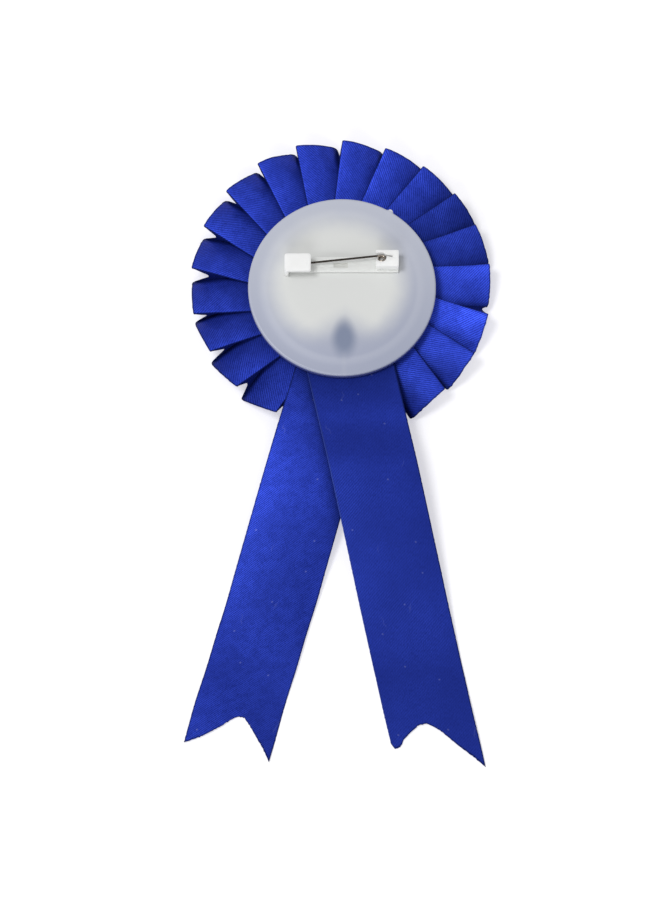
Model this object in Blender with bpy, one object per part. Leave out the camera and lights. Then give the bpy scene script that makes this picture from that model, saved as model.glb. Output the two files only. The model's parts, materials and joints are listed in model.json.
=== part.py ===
"""Award rosette with a knife-pleated satin ring, two tails and a pin on its back.

The rosette lies face down.  The origin is the middle of the flat front face, +Z points
out of the pin side and -Y runs along the tails.  Lengths are written in millimetres and
multiplied by MM where a mesh is made.
"""

import math

import bmesh
import bpy
from mathutils import Matrix, Vector

MM = 0.001
GAP = 0.3  # clearance between pieces that touch on the real object
SHEET_GAP = 0.2  # clearance between flat pieces stacked on each other

# Rosette ring
RIBBON_WIDTH = 25.4
PLEAT_COUNT = 21
PLEAT_FACE = 12.0
PLEAT_INNER = 18.0
PLEAT_THICKNESS = 0.25
PLEAT_FOLD = 0.22
RING_SHIFT = Vector((0, 1.8, 0))
# Where each raised fold meets the rim, in degrees clockwise from +Y
FOLD_TURNS = (
    0.3, 17.1, 33.3, 49.8, 64.7, 81.8, 102.0, 119.5, 136.7, 155.3, 172.0,
    189.0, 205.5, 224.0, 242.0, 258.2, 276.9, 293.8, 310.8, 326.9, 343.0,
)
FACE_TURN = 7.9  # from a raised fold's rim corner to the middle of its face, in degrees
FOLD_INNER_Z = 6.0
TUCK_INNER_Z = 4.2
FOLD_RIM_Z = 7.0
TUCK_RIM_Z = 1.5
RETURN_PULL = 3.4
RIM_BULGE = 0.7
CLAMP_RADIUS = 28.0

# Front: clear cover, printed disc, button and card
BUTTON_RADIUS = 27.5
BUTTON_LIP = 2.2
BUTTON_WALL = 1.2
BUTTON_EDGE = 0.6
COVER_RADIUS = 25.0
COVER_THICKNESS = 0.4
ARTWORK_THICKNESS = 0.25
BUTTON_FLOOR = 0.9
BUTTON_TOP_Z = 3.1
CARD_RADIUS = 26.5
CARD_THICKNESS = 0.4

# Back shell
SHELL_RADIUS = 27.45
SHELL_BOTTOM_Z = 7.9
SHELL_HEIGHT = 2.4
SHELL_WALL = 0.9
SHELL_STEP_RADIUS = 23.4
NUB_TURN = 31.0

# Tails
TAIL_THICKNESS = 0.35
LEFT_TAIL_Z = 6.65
RIGHT_TAIL_Z = 7.3
TAIL_PIVOT_Y = -29.4
TAIL_PIVOT_Z = RIGHT_TAIL_Z + TAIL_THICKNESS / 2
TAIL_REST_Z = 0.25
GLUE_CENTRE = Vector((0.6, -15.4))
GLUE_HALF_WIDTH = 3.4
GLUE_HALF_LENGTH = 5.4
GLUE_POINT = 1.6

# Pin bar
BAR_LEFT = -16.75
BAR_RIGHT = 16.55
STRIP_LOW_Y = 4.2
STRIP_HIGH_Y = 8.8
STRIP_THICKNESS = 0.6
STRIP_GAP = 0.15
ADHESIVE_THICKNESS = 0.15
ADHESIVE_INSET = 0.4
CLASP_WIDTH = 7.7
CLASP_LOW_Y = 3.05
CLASP_HIGH_Y = 8.45
CLASP_RISE = 4.2
CLASP_ROOF = 1.3
CLASP_WALL = 1.2
HINGE_WIDTH = 6.7
HINGE_LOW_Y = 4.8
HINGE_HIGH_Y = 9.8
HINGE_RISE = 3.4
POCKET_DEPTH = 1.55  # below the coil's centre
WINDOW = ((-2.4, 5.5), (1.7, 7.0))
WINDOW_DEPTH = 0.35

# Pin wire
WIRE_RADIUS = 0.32
COIL_RADIUS = 0.85
COIL_PITCH = 0.8
COIL_CENTRE = Vector((11.6, 7.63, 13.84))
COIL_TILT = math.radians(15)
NEEDLE_TIP = Vector((-13.4, 6.0, 12.86))
# The fixed leg, measured from where the coil ends
LEG_BEND = Vector((1.4, -0.02, -0.02))
LEG_END = Vector((3.4, -0.4, -0.05))

SHELL_TOP_Z = SHELL_BOTTOM_Z + SHELL_HEIGHT
STRIP_BOTTOM_Z = SHELL_TOP_Z + SHEET_GAP + ADHESIVE_THICKNESS + STRIP_GAP
STRIP_TOP_Z = STRIP_BOTTOM_Z + STRIP_THICKNESS


def clear_scene():
    for old in list(bpy.data.objects):
        bpy.data.objects.remove(old, do_unlink=True)


def material(name, colour, roughness, metallic=0.0, transmission=0.0):
    made = bpy.data.materials.new(name)
    made.use_nodes = True
    shader = made.node_tree.nodes["Principled BSDF"]
    shader.inputs["Base Color"].default_value = (*colour, 1.0)
    shader.inputs["Roughness"].default_value = roughness
    shader.inputs["Metallic"].default_value = metallic
    shader.inputs["Transmission Weight"].default_value = transmission
    made.diffuse_color = (*colour, 1.0)
    return made


def add_object(name, bm, finish, smooth_angle=None):
    """One closed mesh as a named object; bm holds millimetres."""
    bmesh.ops.scale(bm, vec=(MM, MM, MM), verts=bm.verts)
    bmesh.ops.recalc_face_normals(bm, faces=bm.faces)
    mesh = bpy.data.meshes.new(name)
    bm.to_mesh(mesh)
    bm.free()
    if smooth_angle is not None:
        mesh.shade_smooth()
        mesh.set_sharp_from_angle(angle=math.radians(smooth_angle))
    made = bpy.data.objects.new(name, mesh)
    bpy.context.scene.collection.objects.link(made)
    made.data.materials.append(finish)
    return made


def set_pivot(made, empty):
    """Puts an object's origin on the empty and parents it there, leaving its shape in place."""
    offset = empty.location.copy()
    made.data.transform(Matrix.Translation(-offset))
    made.location = (0, 0, 0)
    made.parent = empty


def add_pivot(name, place):
    empty = bpy.data.objects.new(name, None)
    empty.empty_display_size = 5 * MM
    empty.location = Vector(place) * MM
    bpy.context.scene.collection.objects.link(empty)
    return empty


# Basic solids, in millimetres


def turned(profile, steps):
    """Solid of revolution about Z from a closed or axis-to-axis outline of (radius, z) points."""
    bm = bmesh.new()
    verts = [bm.verts.new((radius, 0, z)) for radius, z in profile]
    open_ended = profile[0][0] == 0 and profile[-1][0] == 0
    pairs = list(zip(verts, verts[1:]))
    if not open_ended:
        pairs.append((verts[-1], verts[0]))
    edges = [bm.edges.new(pair) for pair in pairs]
    bmesh.ops.spin(
        bm, geom=verts + edges, axis=(0, 0, 1), cent=(0, 0, 0), angle=math.tau, steps=steps
    )
    bmesh.ops.remove_doubles(bm, verts=bm.verts, dist=1e-4)
    return bm


def disc(radius, low, high, steps=64):
    return turned([(0, low), (radius, low), (radius, high), (0, high)], steps)


def rounded_block(low, high, corner, steps=4):
    """Upright block between two opposite corners, its vertical edges rounded."""
    x0, y0, z0 = low
    x1, y1, z1 = high
    centres = ((x1, y1, 0), (x0, y1, 90), (x0, y0, 180), (x1, y0, 270))
    outline = []
    for x, y, first in centres:
        inward = Vector((corner if x == x0 else -corner, corner if y == y0 else -corner))
        for step in range(steps + 1):
            angle = math.radians(first + 90 * step / steps)
            outline.append(
                (
                    x + inward.x + corner * math.cos(angle),
                    y + inward.y + corner * math.sin(angle),
                )
            )
    bm = bmesh.new()
    base = bm.faces.new([bm.verts.new((x, y, z0)) for x, y in outline])
    raised = bmesh.ops.extrude_face_region(bm, geom=[base])
    top = [item for item in raised["geom"] if isinstance(item, bmesh.types.BMVert)]
    bmesh.ops.translate(bm, vec=(0, 0, z1 - z0), verts=top)
    return bm


def box(low, high):
    bm = bmesh.new()
    bmesh.ops.create_cube(bm, size=1)
    low, high = Vector(low), Vector(high)
    bmesh.ops.scale(bm, vec=high - low, verts=bm.verts)
    bmesh.ops.translate(bm, vec=(low + high) / 2, verts=bm.verts)
    return bm


def slab(tops, bottoms, wrap=False):
    """Closed solid between two grids of points; wrap joins the last column to the first."""
    bm = bmesh.new()
    upper = [[bm.verts.new(point) for point in row] for row in tops]
    lower = [[bm.verts.new(point) for point in row] for row in bottoms]
    rows = len(upper)
    columns = len(upper[0])
    spans = columns if wrap else columns - 1
    for r in range(rows - 1):
        for c in range(spans):
            n = (c + 1) % columns
            bm.faces.new((upper[r][c], upper[r][n], upper[r + 1][n], upper[r + 1][c]))
            bm.faces.new((lower[r][c], lower[r + 1][c], lower[r + 1][n], lower[r][n]))
    for r in (0, rows - 1):
        for c in range(spans):
            n = (c + 1) % columns
            bm.faces.new((upper[r][c], lower[r][c], lower[r][n], upper[r][n]))
    if not wrap:
        for c in (0, columns - 1):
            for r in range(rows - 1):
                bm.faces.new((upper[r][c], upper[r + 1][c], lower[r + 1][c], lower[r][c]))
    bmesh.ops.triangulate(bm, faces=bm.faces)
    return bm


def wire(points, radii, sides=10):
    """Round wire along points, with a radius at each, its two ends capped flat."""
    bm = bmesh.new()
    rings = []
    across = None
    for i, point in enumerate(points):
        ahead = (points[min(i + 1, len(points) - 1)] - points[max(i - 1, 0)]).normalized()
        if across is None:
            across = ahead.orthogonal().normalized()
        across = (across - ahead * across.dot(ahead)).normalized()
        up = ahead.cross(across)
        ring = []
        for side in range(sides):
            angle = math.tau * side / sides
            spoke = across * math.cos(angle) + up * math.sin(angle)
            ring.append(bm.verts.new(point + spoke * radii[i]))
        rings.append(ring)
    for first, second in zip(rings, rings[1:]):
        for side in range(sides):
            n = (side + 1) % sides
            bm.faces.new((first[side], first[n], second[n], second[side]))
    bm.faces.new(rings[0])
    bm.faces.new(reversed(rings[-1]))
    return bm


def combine(made, other_bm, operation, name):
    """Boolean of an object with a solid in millimetres, applied in place."""
    tool = add_object(name, other_bm, made.data.materials[0])
    change = made.modifiers.new(name, "BOOLEAN")
    change.operation = operation
    change.solver = "EXACT"
    change.object = tool
    graph = bpy.context.evaluated_depsgraph_get()
    result = bpy.data.meshes.new_from_object(made.evaluated_get(graph))
    made.modifiers.clear()
    made.data = result
    bpy.data.objects.remove(tool, do_unlink=True)


def ease(low, high, value):
    t = min(max((value - low) / (high - low), 0.0), 1.0)
    return t * t * (3 - 2 * t)


# Front pieces


def front_pieces(clear, paper, white, card):
    add_object("clear_cover", disc(COVER_RADIUS - GAP, 0, COVER_THICKNESS), clear, 30)
    art_low = COVER_THICKNESS + SHEET_GAP
    art_high = art_low + ARTWORK_THICKNESS
    add_object("artwork_disc", disc(COVER_RADIUS - GAP, art_low, art_high), paper, 30)
    floor_low = art_high + SHEET_GAP
    floor_high = floor_low + BUTTON_FLOOR
    lip = BUTTON_RADIUS - BUTTON_LIP
    profile = [
        (0, floor_low),
        (lip, floor_low),
        (lip, GAP),
        (BUTTON_RADIUS - BUTTON_EDGE, GAP),
        (BUTTON_RADIUS - BUTTON_EDGE * 0.3, GAP + BUTTON_EDGE * 0.3),
        (BUTTON_RADIUS, GAP + BUTTON_EDGE),
        (BUTTON_RADIUS, BUTTON_TOP_Z),
        (BUTTON_RADIUS - BUTTON_WALL, BUTTON_TOP_Z),
        (BUTTON_RADIUS - BUTTON_WALL, floor_high),
        (0, floor_high),
    ]
    add_object("front_button", turned(profile, 64), white, 30)
    card_low = BUTTON_TOP_Z + SHEET_GAP
    add_object("card_disc", disc(CARD_RADIUS, card_low, card_low + CARD_THICKNESS), card, 30)


# Pleated ring


def fold_height(distance):
    """Height of the raised folds at a distance from the middle."""
    rise = (distance - CLAMP_RADIUS) / (PLEAT_INNER + RIBBON_WIDTH - CLAMP_RADIUS)
    return FOLD_INNER_Z + (FOLD_RIM_Z - FOLD_INNER_Z) * min(max(rise, 0), 1)


def tuck_height(distance):
    """Height of the tucked folds, which drop towards the rim outside the clamped middle."""
    fall = (distance - CLAMP_RADIUS) / (PLEAT_INNER + RIBBON_WIDTH - CLAMP_RADIUS)
    return TUCK_INNER_Z + (TUCK_RIM_Z - TUCK_INNER_Z) * min(max(fall, 0), 1)


def pleat_point(pleat, side, distance, z):
    """A point of one pleat: distance out along its middle line, side across it."""
    turn = math.radians(90 - FOLD_TURNS[pleat % PLEAT_COUNT] - FACE_TURN)
    outward = Vector((math.cos(turn), math.sin(turn), 0))
    across = Vector((-math.sin(turn), math.cos(turn), 0))
    return outward * distance + across * side + RING_SHIFT + Vector((0, 0, z))


def pleat_section(pleat, share):
    """The ribbon's path across one pleat, clockwise from its raised fold, at a share of its width.

    The face slopes down to the tucked fold, and the return layer climbs back under the next
    pleat.  Near the rim the return layer draws inwards, which opens a notch between the faces.
    """
    half = PLEAT_FACE / 2
    rho = PLEAT_FOLD
    upright = 1 - ease(0.3, 0.9, share)

    def out(pull):
        return PLEAT_INNER + share * (RIBBON_WIDTH - pull)

    path = []
    face = (
        (half - rho, 0),
        (half * 0.35, -RIM_BULGE),
        (-half * 0.35, -RIM_BULGE),
        (rho - half, 0),
    )
    for side, pull in face:
        distance = out(pull)
        low = tuck_height(distance)
        level = (side + half) / PLEAT_FACE
        path.append(pleat_point(pleat, side, distance, low + (fold_height(distance) - low) * level))
    distance = out(RETURN_PULL * 0.15)
    path.append(pleat_point(pleat, -half, distance, tuck_height(distance) + rho))
    distance = out(RETURN_PULL * 0.6)
    path.append(pleat_point(pleat, rho * upright - half, distance, tuck_height(distance) + 2 * rho))
    distance = out(RETURN_PULL)
    start = pleat_point(pleat, rho * upright - half, distance, tuck_height(distance) + 2 * rho)
    end = pleat_point(pleat + 1, half - rho * upright, distance, fold_height(distance) - 2 * rho)
    path.append((start + end) / 2)
    distance = out(RETURN_PULL * 0.6)
    path.append(pleat_point(pleat + 1, half - rho * upright, distance, fold_height(distance) - 2 * rho))
    distance = out(RETURN_PULL * 0.15)
    path.append(pleat_point(pleat + 1, half, distance, fold_height(distance) - rho))
    return path


def pleated_ribbon(satin):
    shares = (0.0, 0.2, 0.42, 0.62, 0.82, 1.0)
    grid = []
    for share in shares:
        row = []
        for pleat in range(PLEAT_COUNT):
            row.extend(pleat_section(pleat, share))
        grid.append(row)
    columns = len(grid[0])
    tops, bottoms = [], []
    for r, row in enumerate(grid):
        top_row, bottom_row = [], []
        for c, point in enumerate(row):
            along = (row[(c + 1) % columns] - point).normalized()
            along += (point - row[c - 1]).normalized()
            out = grid[min(r + 1, len(grid) - 1)][c] - grid[max(r - 1, 0)][c]
            normal = out.cross(along).normalized()
            top_row.append(point + normal * PLEAT_THICKNESS / 2)
            bottom_row.append(point - normal * PLEAT_THICKNESS / 2)
        tops.append(top_row)
        bottoms.append(bottom_row)
    add_object("pleated_ribbon", slab(tops, bottoms, wrap=True), satin, 40)


def gathering_thread(thread):
    """Thread drawn tight round the inner edge of the pleats."""
    section = 0.25
    radius = PLEAT_INNER - GAP - section
    middle = (FOLD_INNER_Z + TUCK_INNER_Z) / 2
    profile = []
    sides = 8
    for side in range(sides):
        angle = math.tau * side / sides
        profile.append((radius + section * math.cos(angle), middle + section * math.sin(angle)))
    bm = turned(profile, 48)
    bmesh.ops.translate(bm, vec=RING_SHIFT, verts=bm.verts)
    add_object("gathering_thread", bm, thread, 60)


# Tails

# Each forked end is an outline of (share across the ribbon, y)
LEFT_TAIL = {
    "top_x": 0.9,
    "end_x": -33.8,
    "end_y": -140.6,
    "level": LEFT_TAIL_Z,
    "apex": 0.52,
    "end": (
        (0.0, -137.3),
        (0.19, -135.3),
        (0.35, -132.6),
        (0.52, -129.4),
        (0.6, -129.8),
        (0.78, -135.7),
        (1.0, -143.4),
    ),
}
RIGHT_TAIL = {
    "top_x": 1.4,
    "end_x": 28.1,
    "end_y": -142.0,
    "level": RIGHT_TAIL_Z,
    "apex": 0.42,
    "end": (
        (0.0, -137.6),
        (0.05, -139.2),
        (0.12, -137.8),
        (0.24, -134.5),
        (0.42, -131.6),
        (0.74, -138.2),
        (1.0, -144.9),
    ),
}
TAIL_TOP_Y = -19.0
TAIL_POINT_Y = -7.6
TAIL_SHOULDER_Y = -16.6
LIFT_END_Y = -39.0
RIM_Y = -44.0
RIM_LIFT = 0.95
TOUCHDOWN_Y = -104.0
LAP_END_Y = -84.0


def tail_middle(tail, y):
    """Where the tail's middle line is at y."""
    t = (TAIL_TOP_Y - y) / (TAIL_TOP_Y - tail["end_y"])
    return tail["top_x"] + (tail["end_x"] - tail["top_x"]) * t


def tail_half_width(tail):
    slope = (tail["end_x"] - tail["top_x"]) / (TAIL_TOP_Y - tail["end_y"])
    return RIBBON_WIDTH / 2 * math.sqrt(1 + slope * slope)


def tail_height(tail, y):
    """Over the pleats' rim and slowly down onto the table; the upper tail stays on the lower one."""
    level = tail["level"] + RIM_LIFT * ease(-TAIL_PIVOT_Y, -LIFT_END_Y, -y)
    lap = tail["level"] - LEFT_TAIL_Z
    floor = TAIL_REST_Z + lap * (1 - ease(-LAP_END_Y, -TOUCHDOWN_Y, -y))
    return level + (floor - level) * ease(-RIM_Y, -TOUCHDOWN_Y, -y)


def between(points, share):
    """Height of the straight-sided outline through points at a share across."""
    for (x0, y0), (x1, y1) in zip(points, points[1:]):
        if share <= x1:
            return y0 + (y1 - y0) * (share - x0) / (x1 - x0)
    return points[-1][1]


def tail_strip(tail, first, last, rows):
    """Strip of ribbon between two outlines across the tail, each given as points (share, y)."""
    shares = [share for share, _ in tail["end"]]
    half = tail_half_width(tail)
    tops, bottoms = [], []
    for r in range(rows + 1):
        top_row, bottom_row = [], []
        for share in shares:
            start = between(first, share)
            y = start + (between(last, share) - start) * r / rows
            x = tail_middle(tail, y) + (2 * share - 1) * half
            z = tail_height(tail, y)
            top_row.append((x, y, z + TAIL_THICKNESS / 2))
            bottom_row.append((x, y, z - TAIL_THICKNESS / 2))
        tops.append(top_row)
        bottoms.append(bottom_row)
    return slab(tops, bottoms)


def tails(satin, pivot):
    above = TAIL_PIVOT_Y + GAP / 2
    below = TAIL_PIVOT_Y - GAP / 2
    for name, tail in (("tail_left", LEFT_TAIL), ("tail_right", RIGHT_TAIL)):
        point = ((0.0, TAIL_SHOULDER_Y), (tail["apex"], TAIL_POINT_Y), (1.0, TAIL_SHOULDER_Y))
        cut_above = ((0.0, above), (1.0, above))
        cut_below = ((0.0, below), (1.0, below))
        add_object(name + "_root", tail_strip(tail, point, cut_above, 3), satin, 40)
        free = add_object(name, tail_strip(tail, cut_below, tail["end"], 26), satin, 40)
        set_pivot(free, pivot)


def tail_glue_dab(glue):
    """Teardrop of hot glue between the tails' upper ends and the shell."""
    low = TAIL_PIVOT_Z + 0.25
    high = SHELL_TOP_Z - SHELL_WALL - 0.25
    steps = 24
    levels = ((low, 0.9), (low + 0.35, 1.0), (high - 0.35, 0.9), (high, 0.65))
    bm = bmesh.new()
    rings = []
    for z, scale in levels:
        ring = []
        for step in range(steps):
            angle = math.tau * step / steps
            reach = GLUE_HALF_LENGTH + GLUE_POINT * max(math.sin(angle), 0) ** 6
            x = GLUE_CENTRE.x + GLUE_HALF_WIDTH * scale * math.cos(angle)
            y = GLUE_CENTRE.y + reach * scale * math.sin(angle)
            ring.append(bm.verts.new((x, y, z)))
        rings.append(ring)
    for first, second in zip(rings, rings[1:]):
        for step in range(steps):
            n = (step + 1) % steps
            bm.faces.new((first[step], first[n], second[n], second[step]))
    bm.faces.new(rings[0])
    bm.faces.new(rings[-1])
    add_object("tail_glue_dab", bm, glue, 40)


# Back shell


def back_shell(frosted):
    """Shallow dish, open towards the pleats, with a low step near its edge and a gate nub."""
    inner = SHELL_RADIUS - SHELL_WALL
    ceiling = SHELL_TOP_Z - SHELL_WALL
    step = 0.15
    profile = [
        (0, SHELL_TOP_Z),
        (SHELL_STEP_RADIUS, SHELL_TOP_Z),
        (SHELL_STEP_RADIUS + 0.5, SHELL_TOP_Z - step),
        (SHELL_RADIUS - 0.6, SHELL_TOP_Z - step),
        (SHELL_RADIUS - 0.15, SHELL_TOP_Z - step - 0.2),
        (SHELL_RADIUS, SHELL_TOP_Z - step - 0.6),
        (SHELL_RADIUS, SHELL_BOTTOM_Z),
        (inner, SHELL_BOTTOM_Z),
        (inner, ceiling - step - 0.4),
        (inner - 0.4, ceiling - step),
        (0, ceiling - step),
    ]
    made = add_object("back_shell", turned(profile, 72), frosted, 30)
    turn = math.radians(90 - NUB_TURN)
    nub = box((-0.9, -0.7, -0.55), (0.5, 0.7, 0.55))
    nub.transform(
        Matrix.Translation((0, 0, SHELL_BOTTOM_Z + 1.2))
        @ Matrix.Rotation(turn, 4, "Z")
        @ Matrix.Translation((SHELL_RADIUS + 0.35, 0, 0))
    )
    combine(made, nub, "UNION", "gate_nub")


# Pin


def pin_adhesive(film):
    """Film between the bar and the shell."""
    low = SHELL_TOP_Z + SHEET_GAP
    high = low + ADHESIVE_THICKNESS
    sheet = box(
        (BAR_LEFT + ADHESIVE_INSET, STRIP_LOW_Y + ADHESIVE_INSET, low),
        (BAR_RIGHT - ADHESIVE_INSET, STRIP_HIGH_Y - ADHESIVE_INSET, high),
    )
    add_object("pin_adhesive", sheet, film)


def pin_bar(white):
    """Base strip with a clasp block on the left and a hinge block on the right.

    The clasp is a left wall and a roof over the needle: its -Y side and its right end are open.
    A shallow window is sunk in the strip.
    """
    clasp_right = BAR_LEFT + CLASP_WIDTH
    hinge_left = BAR_RIGHT - HINGE_WIDTH
    clasp_top = STRIP_TOP_Z + CLASP_RISE
    hinge_top = STRIP_TOP_Z + HINGE_RISE
    made = add_object(
        "pin_bar",
        rounded_block(
            (BAR_LEFT, STRIP_LOW_Y, STRIP_BOTTOM_Z), (BAR_RIGHT, STRIP_HIGH_Y, STRIP_TOP_Z), 0.5
        ),
        white,
    )
    clasp = rounded_block(
        (BAR_LEFT - 0.05, CLASP_LOW_Y, STRIP_BOTTOM_Z + 0.05),
        (clasp_right, CLASP_HIGH_Y, clasp_top),
        0.9,
    )
    combine(made, clasp, "UNION", "clasp_block")
    hinge = rounded_block(
        (hinge_left, HINGE_LOW_Y, STRIP_BOTTOM_Z + 0.05),
        (BAR_RIGHT + 0.05, HINGE_HIGH_Y, hinge_top),
        0.5,
    )
    combine(made, hinge, "UNION", "hinge_block")
    slot = box(
        (BAR_LEFT + CLASP_WALL, CLASP_LOW_Y - 1, STRIP_TOP_Z + 0.1),
        (clasp_right + 1, NEEDLE_TIP.y + CLASP_WALL, clasp_top - CLASP_ROOF),
    )
    combine(made, slot, "DIFFERENCE", "clasp_slot")
    front = box(
        (BAR_LEFT + CLASP_WALL, CLASP_LOW_Y - 1, STRIP_BOTTOM_Z - 1),
        (clasp_right + 1, STRIP_LOW_Y, clasp_top - CLASP_ROOF - 0.1),
    )
    combine(made, front, "DIFFERENCE", "clasp_front")
    room = COIL_RADIUS + WIRE_RADIUS + GAP
    pocket_floor = COIL_CENTRE.z - POCKET_DEPTH
    pocket = box(
        (hinge_left - 1, COIL_CENTRE.y - room - 0.1, pocket_floor),
        (COIL_CENTRE.x + room + 0.1, COIL_CENTRE.y + room + 0.1, hinge_top + 1),
    )
    combine(made, pocket, "DIFFERENCE", "coil_pocket")
    groove = box(
        (COIL_CENTRE.x, COIL_CENTRE.y - 0.45, pocket_floor),
        (COIL_CENTRE.x + 4.4, COIL_CENTRE.y + room, hinge_top + 1),
    )
    combine(made, groove, "DIFFERENCE", "wire_groove")
    (x0, y0), (x1, y1) = WINDOW
    window = box((x0, y0, STRIP_TOP_Z - WINDOW_DEPTH), (x1, y1, STRIP_TOP_Z + 1))
    combine(made, window, "DIFFERENCE", "strip_window")


def coil_point(turn_angle):
    """Point of the coil, with turn_angle in degrees counter-clockwise from +X round its tilted axis."""
    down = Vector((0, -math.sin(COIL_TILT), -math.cos(COIL_TILT)))
    beside = Vector((1, 0, 0))
    ahead = Vector((0, math.cos(COIL_TILT), -math.sin(COIL_TILT)))
    angle = math.radians(turn_angle)
    drop = COIL_PITCH * (90 - turn_angle) / 360
    return (
        COIL_CENTRE
        + beside * COIL_RADIUS * math.cos(angle)
        + ahead * COIL_RADIUS * math.sin(angle)
        + down * drop
    )


def pin_needle(steel, pivot):
    """Needle from its point to the coil, and three quarters of the coil's turn."""
    leave = 96
    start = coil_point(leave)
    points, radii = [], []
    for share, scale in ((0.0, 0.1), (0.03, 0.35), (0.1, 0.75), (0.2, 1.0), (0.6, 1.0)):
        points.append(NEEDLE_TIP.lerp(start, share))
        radii.append(WIRE_RADIUS * scale)
    step = 18
    for turn_angle in range(leave, -175, -step):
        points.append(coil_point(turn_angle))
        radii.append(WIRE_RADIUS)
    made = add_object("pin_needle", wire(points, radii), steel, 50)
    set_pivot(made, pivot)


def pin_anchor_wire(steel):
    """The rest of the wire: the coil's last quarter turn and the leg held in the block."""
    points = [coil_point(turn_angle) for turn_angle in (-205, -220, -235, -250, -265)]
    last = points[-1]
    points.append(last + LEG_BEND)
    points.append(last + LEG_END)
    add_object("pin_anchor_wire", wire(points, [WIRE_RADIUS] * len(points)), steel, 50)


def build():
    clear_scene()
    satin = material("blue_satin", (0.012, 0.03, 0.42), 0.5)
    thread = material("blue_thread", (0.01, 0.025, 0.3), 0.7)
    clear = material("clear_film", (0.9, 0.92, 0.95), 0.1, transmission=0.6)
    paper = material("printed_paper", (0.85, 0.86, 0.9), 0.6)
    gloss_white = material("white_gloss", (0.88, 0.88, 0.88), 0.3)
    card = material("white_card", (0.85, 0.85, 0.82), 0.8)
    frosted = material("frosted_plastic", (0.72, 0.76, 0.84), 0.4)
    white = material("white_plastic", (0.9, 0.9, 0.89), 0.35)
    film = material("adhesive_film", (0.8, 0.82, 0.84), 0.3)
    glue = material("hot_glue", (0.3, 0.36, 0.55), 0.35)
    steel = material("pin_steel", (0.3, 0.28, 0.27), 0.3, metallic=1.0)

    front_pieces(clear, paper, gloss_white, card)
    pleated_ribbon(satin)
    gathering_thread(thread)
    tail_pivot = add_pivot("tail_pivot", (0, TAIL_PIVOT_Y, TAIL_PIVOT_Z))
    tails(satin, tail_pivot)
    tail_glue_dab(glue)
    back_shell(frosted)
    pin_adhesive(film)
    pin_bar(white)
    coil_pivot = add_pivot("needle_pivot", COIL_CENTRE)
    pin_needle(steel, coil_pivot)
    pin_anchor_wire(steel)


build()
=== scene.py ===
"""Looks of a blue satin award rosette that lies face down with its pin side up.

Lengths are written in millimetres and multiplied by MM where a mesh is made.  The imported
CAD frame gives the places: z = 0 is the table, +Z is up and -Y runs along the tails.
"""

import json
import math
import random

import bmesh
import bpy
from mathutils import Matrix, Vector, noise


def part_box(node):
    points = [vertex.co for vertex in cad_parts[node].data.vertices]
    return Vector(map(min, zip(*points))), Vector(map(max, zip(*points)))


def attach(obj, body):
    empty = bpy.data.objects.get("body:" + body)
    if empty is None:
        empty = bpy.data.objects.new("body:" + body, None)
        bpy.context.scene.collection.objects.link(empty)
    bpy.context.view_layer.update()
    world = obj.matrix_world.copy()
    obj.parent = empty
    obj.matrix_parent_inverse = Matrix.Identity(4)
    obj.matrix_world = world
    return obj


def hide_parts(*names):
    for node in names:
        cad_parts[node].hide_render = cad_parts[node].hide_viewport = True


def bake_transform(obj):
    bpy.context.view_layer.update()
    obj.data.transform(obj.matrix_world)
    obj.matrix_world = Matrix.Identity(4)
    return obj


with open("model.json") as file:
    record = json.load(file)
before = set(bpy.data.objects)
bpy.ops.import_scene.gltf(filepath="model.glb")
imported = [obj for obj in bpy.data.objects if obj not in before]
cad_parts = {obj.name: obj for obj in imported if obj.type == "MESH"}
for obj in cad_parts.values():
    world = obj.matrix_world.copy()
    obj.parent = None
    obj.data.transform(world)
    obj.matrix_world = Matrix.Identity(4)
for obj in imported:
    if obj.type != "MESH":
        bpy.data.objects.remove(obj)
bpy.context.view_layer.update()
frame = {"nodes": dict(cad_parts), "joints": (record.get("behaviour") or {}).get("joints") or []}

MM = 0.001

# Ribbon
RIBBON_WIDTH = 25.4
RIBBON_THICKNESS = 0.22

# Pleated ring
PLEAT_COUNT = 21
PLEAT_FACE = 12.0
PLEAT_INNER = 18.1
RING_SHIFT_Y = 1.8
FOLD_RADIUS = 0.25
RETURN_PULL = 3.8
CLAMP_RADIUS = 28.0
FOLD_INNER_Z = 6.0
TUCK_INNER_Z = 4.2
FOLD_RIM_Z = 7.0
TUCK_RIM_Z = 1.3
# Where each raised fold meets the rim, in degrees clockwise from the top.  The ring is made by
# hand and follows no rule: 13 values are measured, and the others interpolated or guessed.
FOLD_TURNS = (
    0.3, 17.1, 33.3, 49.8, 64.7, 81.8, 102.0, 119.5, 136.7, 155.3, 172.0,
    189.0, 205.5, 224.0, 242.0, 258.2, 276.9, 293.8, 310.8, 326.9, 343.0,
)
RIM_RADIUS = PLEAT_INNER + RIBBON_WIDTH
WIDE_PLEAT = 8  # the widest face, beside the tails
WIDE_FACE = 12.5

# Shallow window in the pin bar's strip
WINDOW = ((-2.4, 5.5), (1.7, 7.0))
WINDOW_DEPTH = 0.3
WINDOW_FADE = 0.1

# Camera: almost straight down, from the tails' side
CAMERA_ELEVATION = 70.5
CAMERA_DISTANCE = 6500.0
CAMERA_AIM = Vector((-3.5, -47.0, 0.0))
VIEW_HEIGHT = 262.8
SENSOR = 36.0


def box_mm(node):
    low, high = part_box(node)
    return low / MM, high / MM


# ---------------------------------------------------------------- materials


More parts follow.
